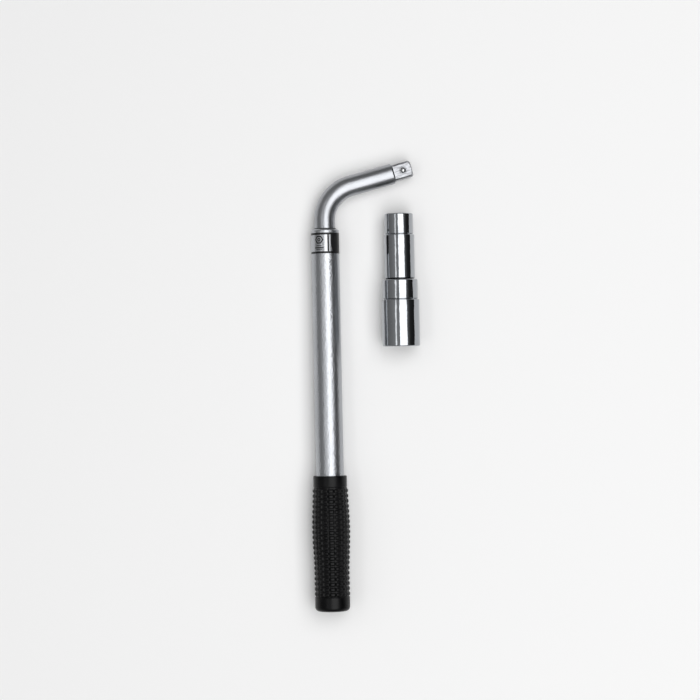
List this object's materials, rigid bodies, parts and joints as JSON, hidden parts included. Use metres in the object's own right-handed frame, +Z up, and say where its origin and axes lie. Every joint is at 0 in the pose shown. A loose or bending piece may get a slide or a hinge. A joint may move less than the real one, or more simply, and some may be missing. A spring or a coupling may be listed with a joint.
{
  "type": "lug wrench",
  "caption": "Extendable wheel-nut wrench: a bent bar with a square drive slides in a tube handle with a rubber grip, and double-ended sockets lie beside it.",
  "frame": {"origin": "under the middle of the outline seen from above, on the surface that the wrench and sockets lie on", "axes": "+Y up the handle towards the head, +X towards the drive's side, +Z up; the handle lies 0.99 degrees head-down and is rolled 2.29 degrees so that grip, tube and head all rest on the surface"},
  "size_m": [0.0888, 0.3557, 0.0304],
  "materials": {
    "bar_chrome": "satin",
    "ball_steel": "polished",
    "spring_steel": "satin",
    "sleeve_plastic": "matte",
    "plain_steel": "satin",
    "tube_chrome": "satin",
    "black_plastic": "matte",
    "grip_rubber": "semi-matte",
    "label_foil": "gloss",
    "socket_chrome": "polished"
  },
  "bodies": {
    "shank": {"shank_bar": "bar_chrome", "detent_spring": "spring_steel", "thrust_washer": "plain_steel", "retaining_ring": "spring_steel"},
    "detent_ball": {"detent_ball": "ball_steel"},
    "sleeve": {"guide_sleeve": "sleeve_plastic", "friction_ring": "spring_steel"},
    "handle": {"handle_tube": "tube_chrome", "mouth_bush": "black_plastic", "end_plug": "black_plastic", "grip": "grip_rubber", "label_band": "label_foil"},
    "socket_17_19": {"socket_17_19": "socket_chrome"},
    "socket_21_23": {"socket_21_23": "socket_chrome"}
  },
  "joints": [
    {"name": "handle_swivel", "type": "hinge", "parent": "shank", "child": "sleeve", "pos_m": [-0.02923, -0.0248, 0.01366], "axis": [0, -0.9999, 0.0173], "continuous": true},
    {"name": "handle_extend", "type": "slide", "parent": "sleeve", "child": "handle", "axis": [0, -0.9999, 0.0173], "range_m": [0, 0.17]},
    {"name": "detent_press", "type": "slide", "parent": "shank", "child": "detent_ball", "axis": [-0.0399, -0.0173, -0.9991], "range_m": [0, 0.0011], "stiffness_N_per_m": 1500, "springref_m": -0.001, "deforming": ["detent_spring"]},
    {"name": "socket_17_19_lift", "type": "slide", "parent": "shank", "child": "socket_17_19", "axis": [0, 0, 1], "range_m": [0, 0.1]},
    {"name": "socket_21_23_lift", "type": "slide", "parent": "shank", "child": "socket_21_23", "axis": [0, 0, 1], "range_m": [0, 0.1]}
  ]
}
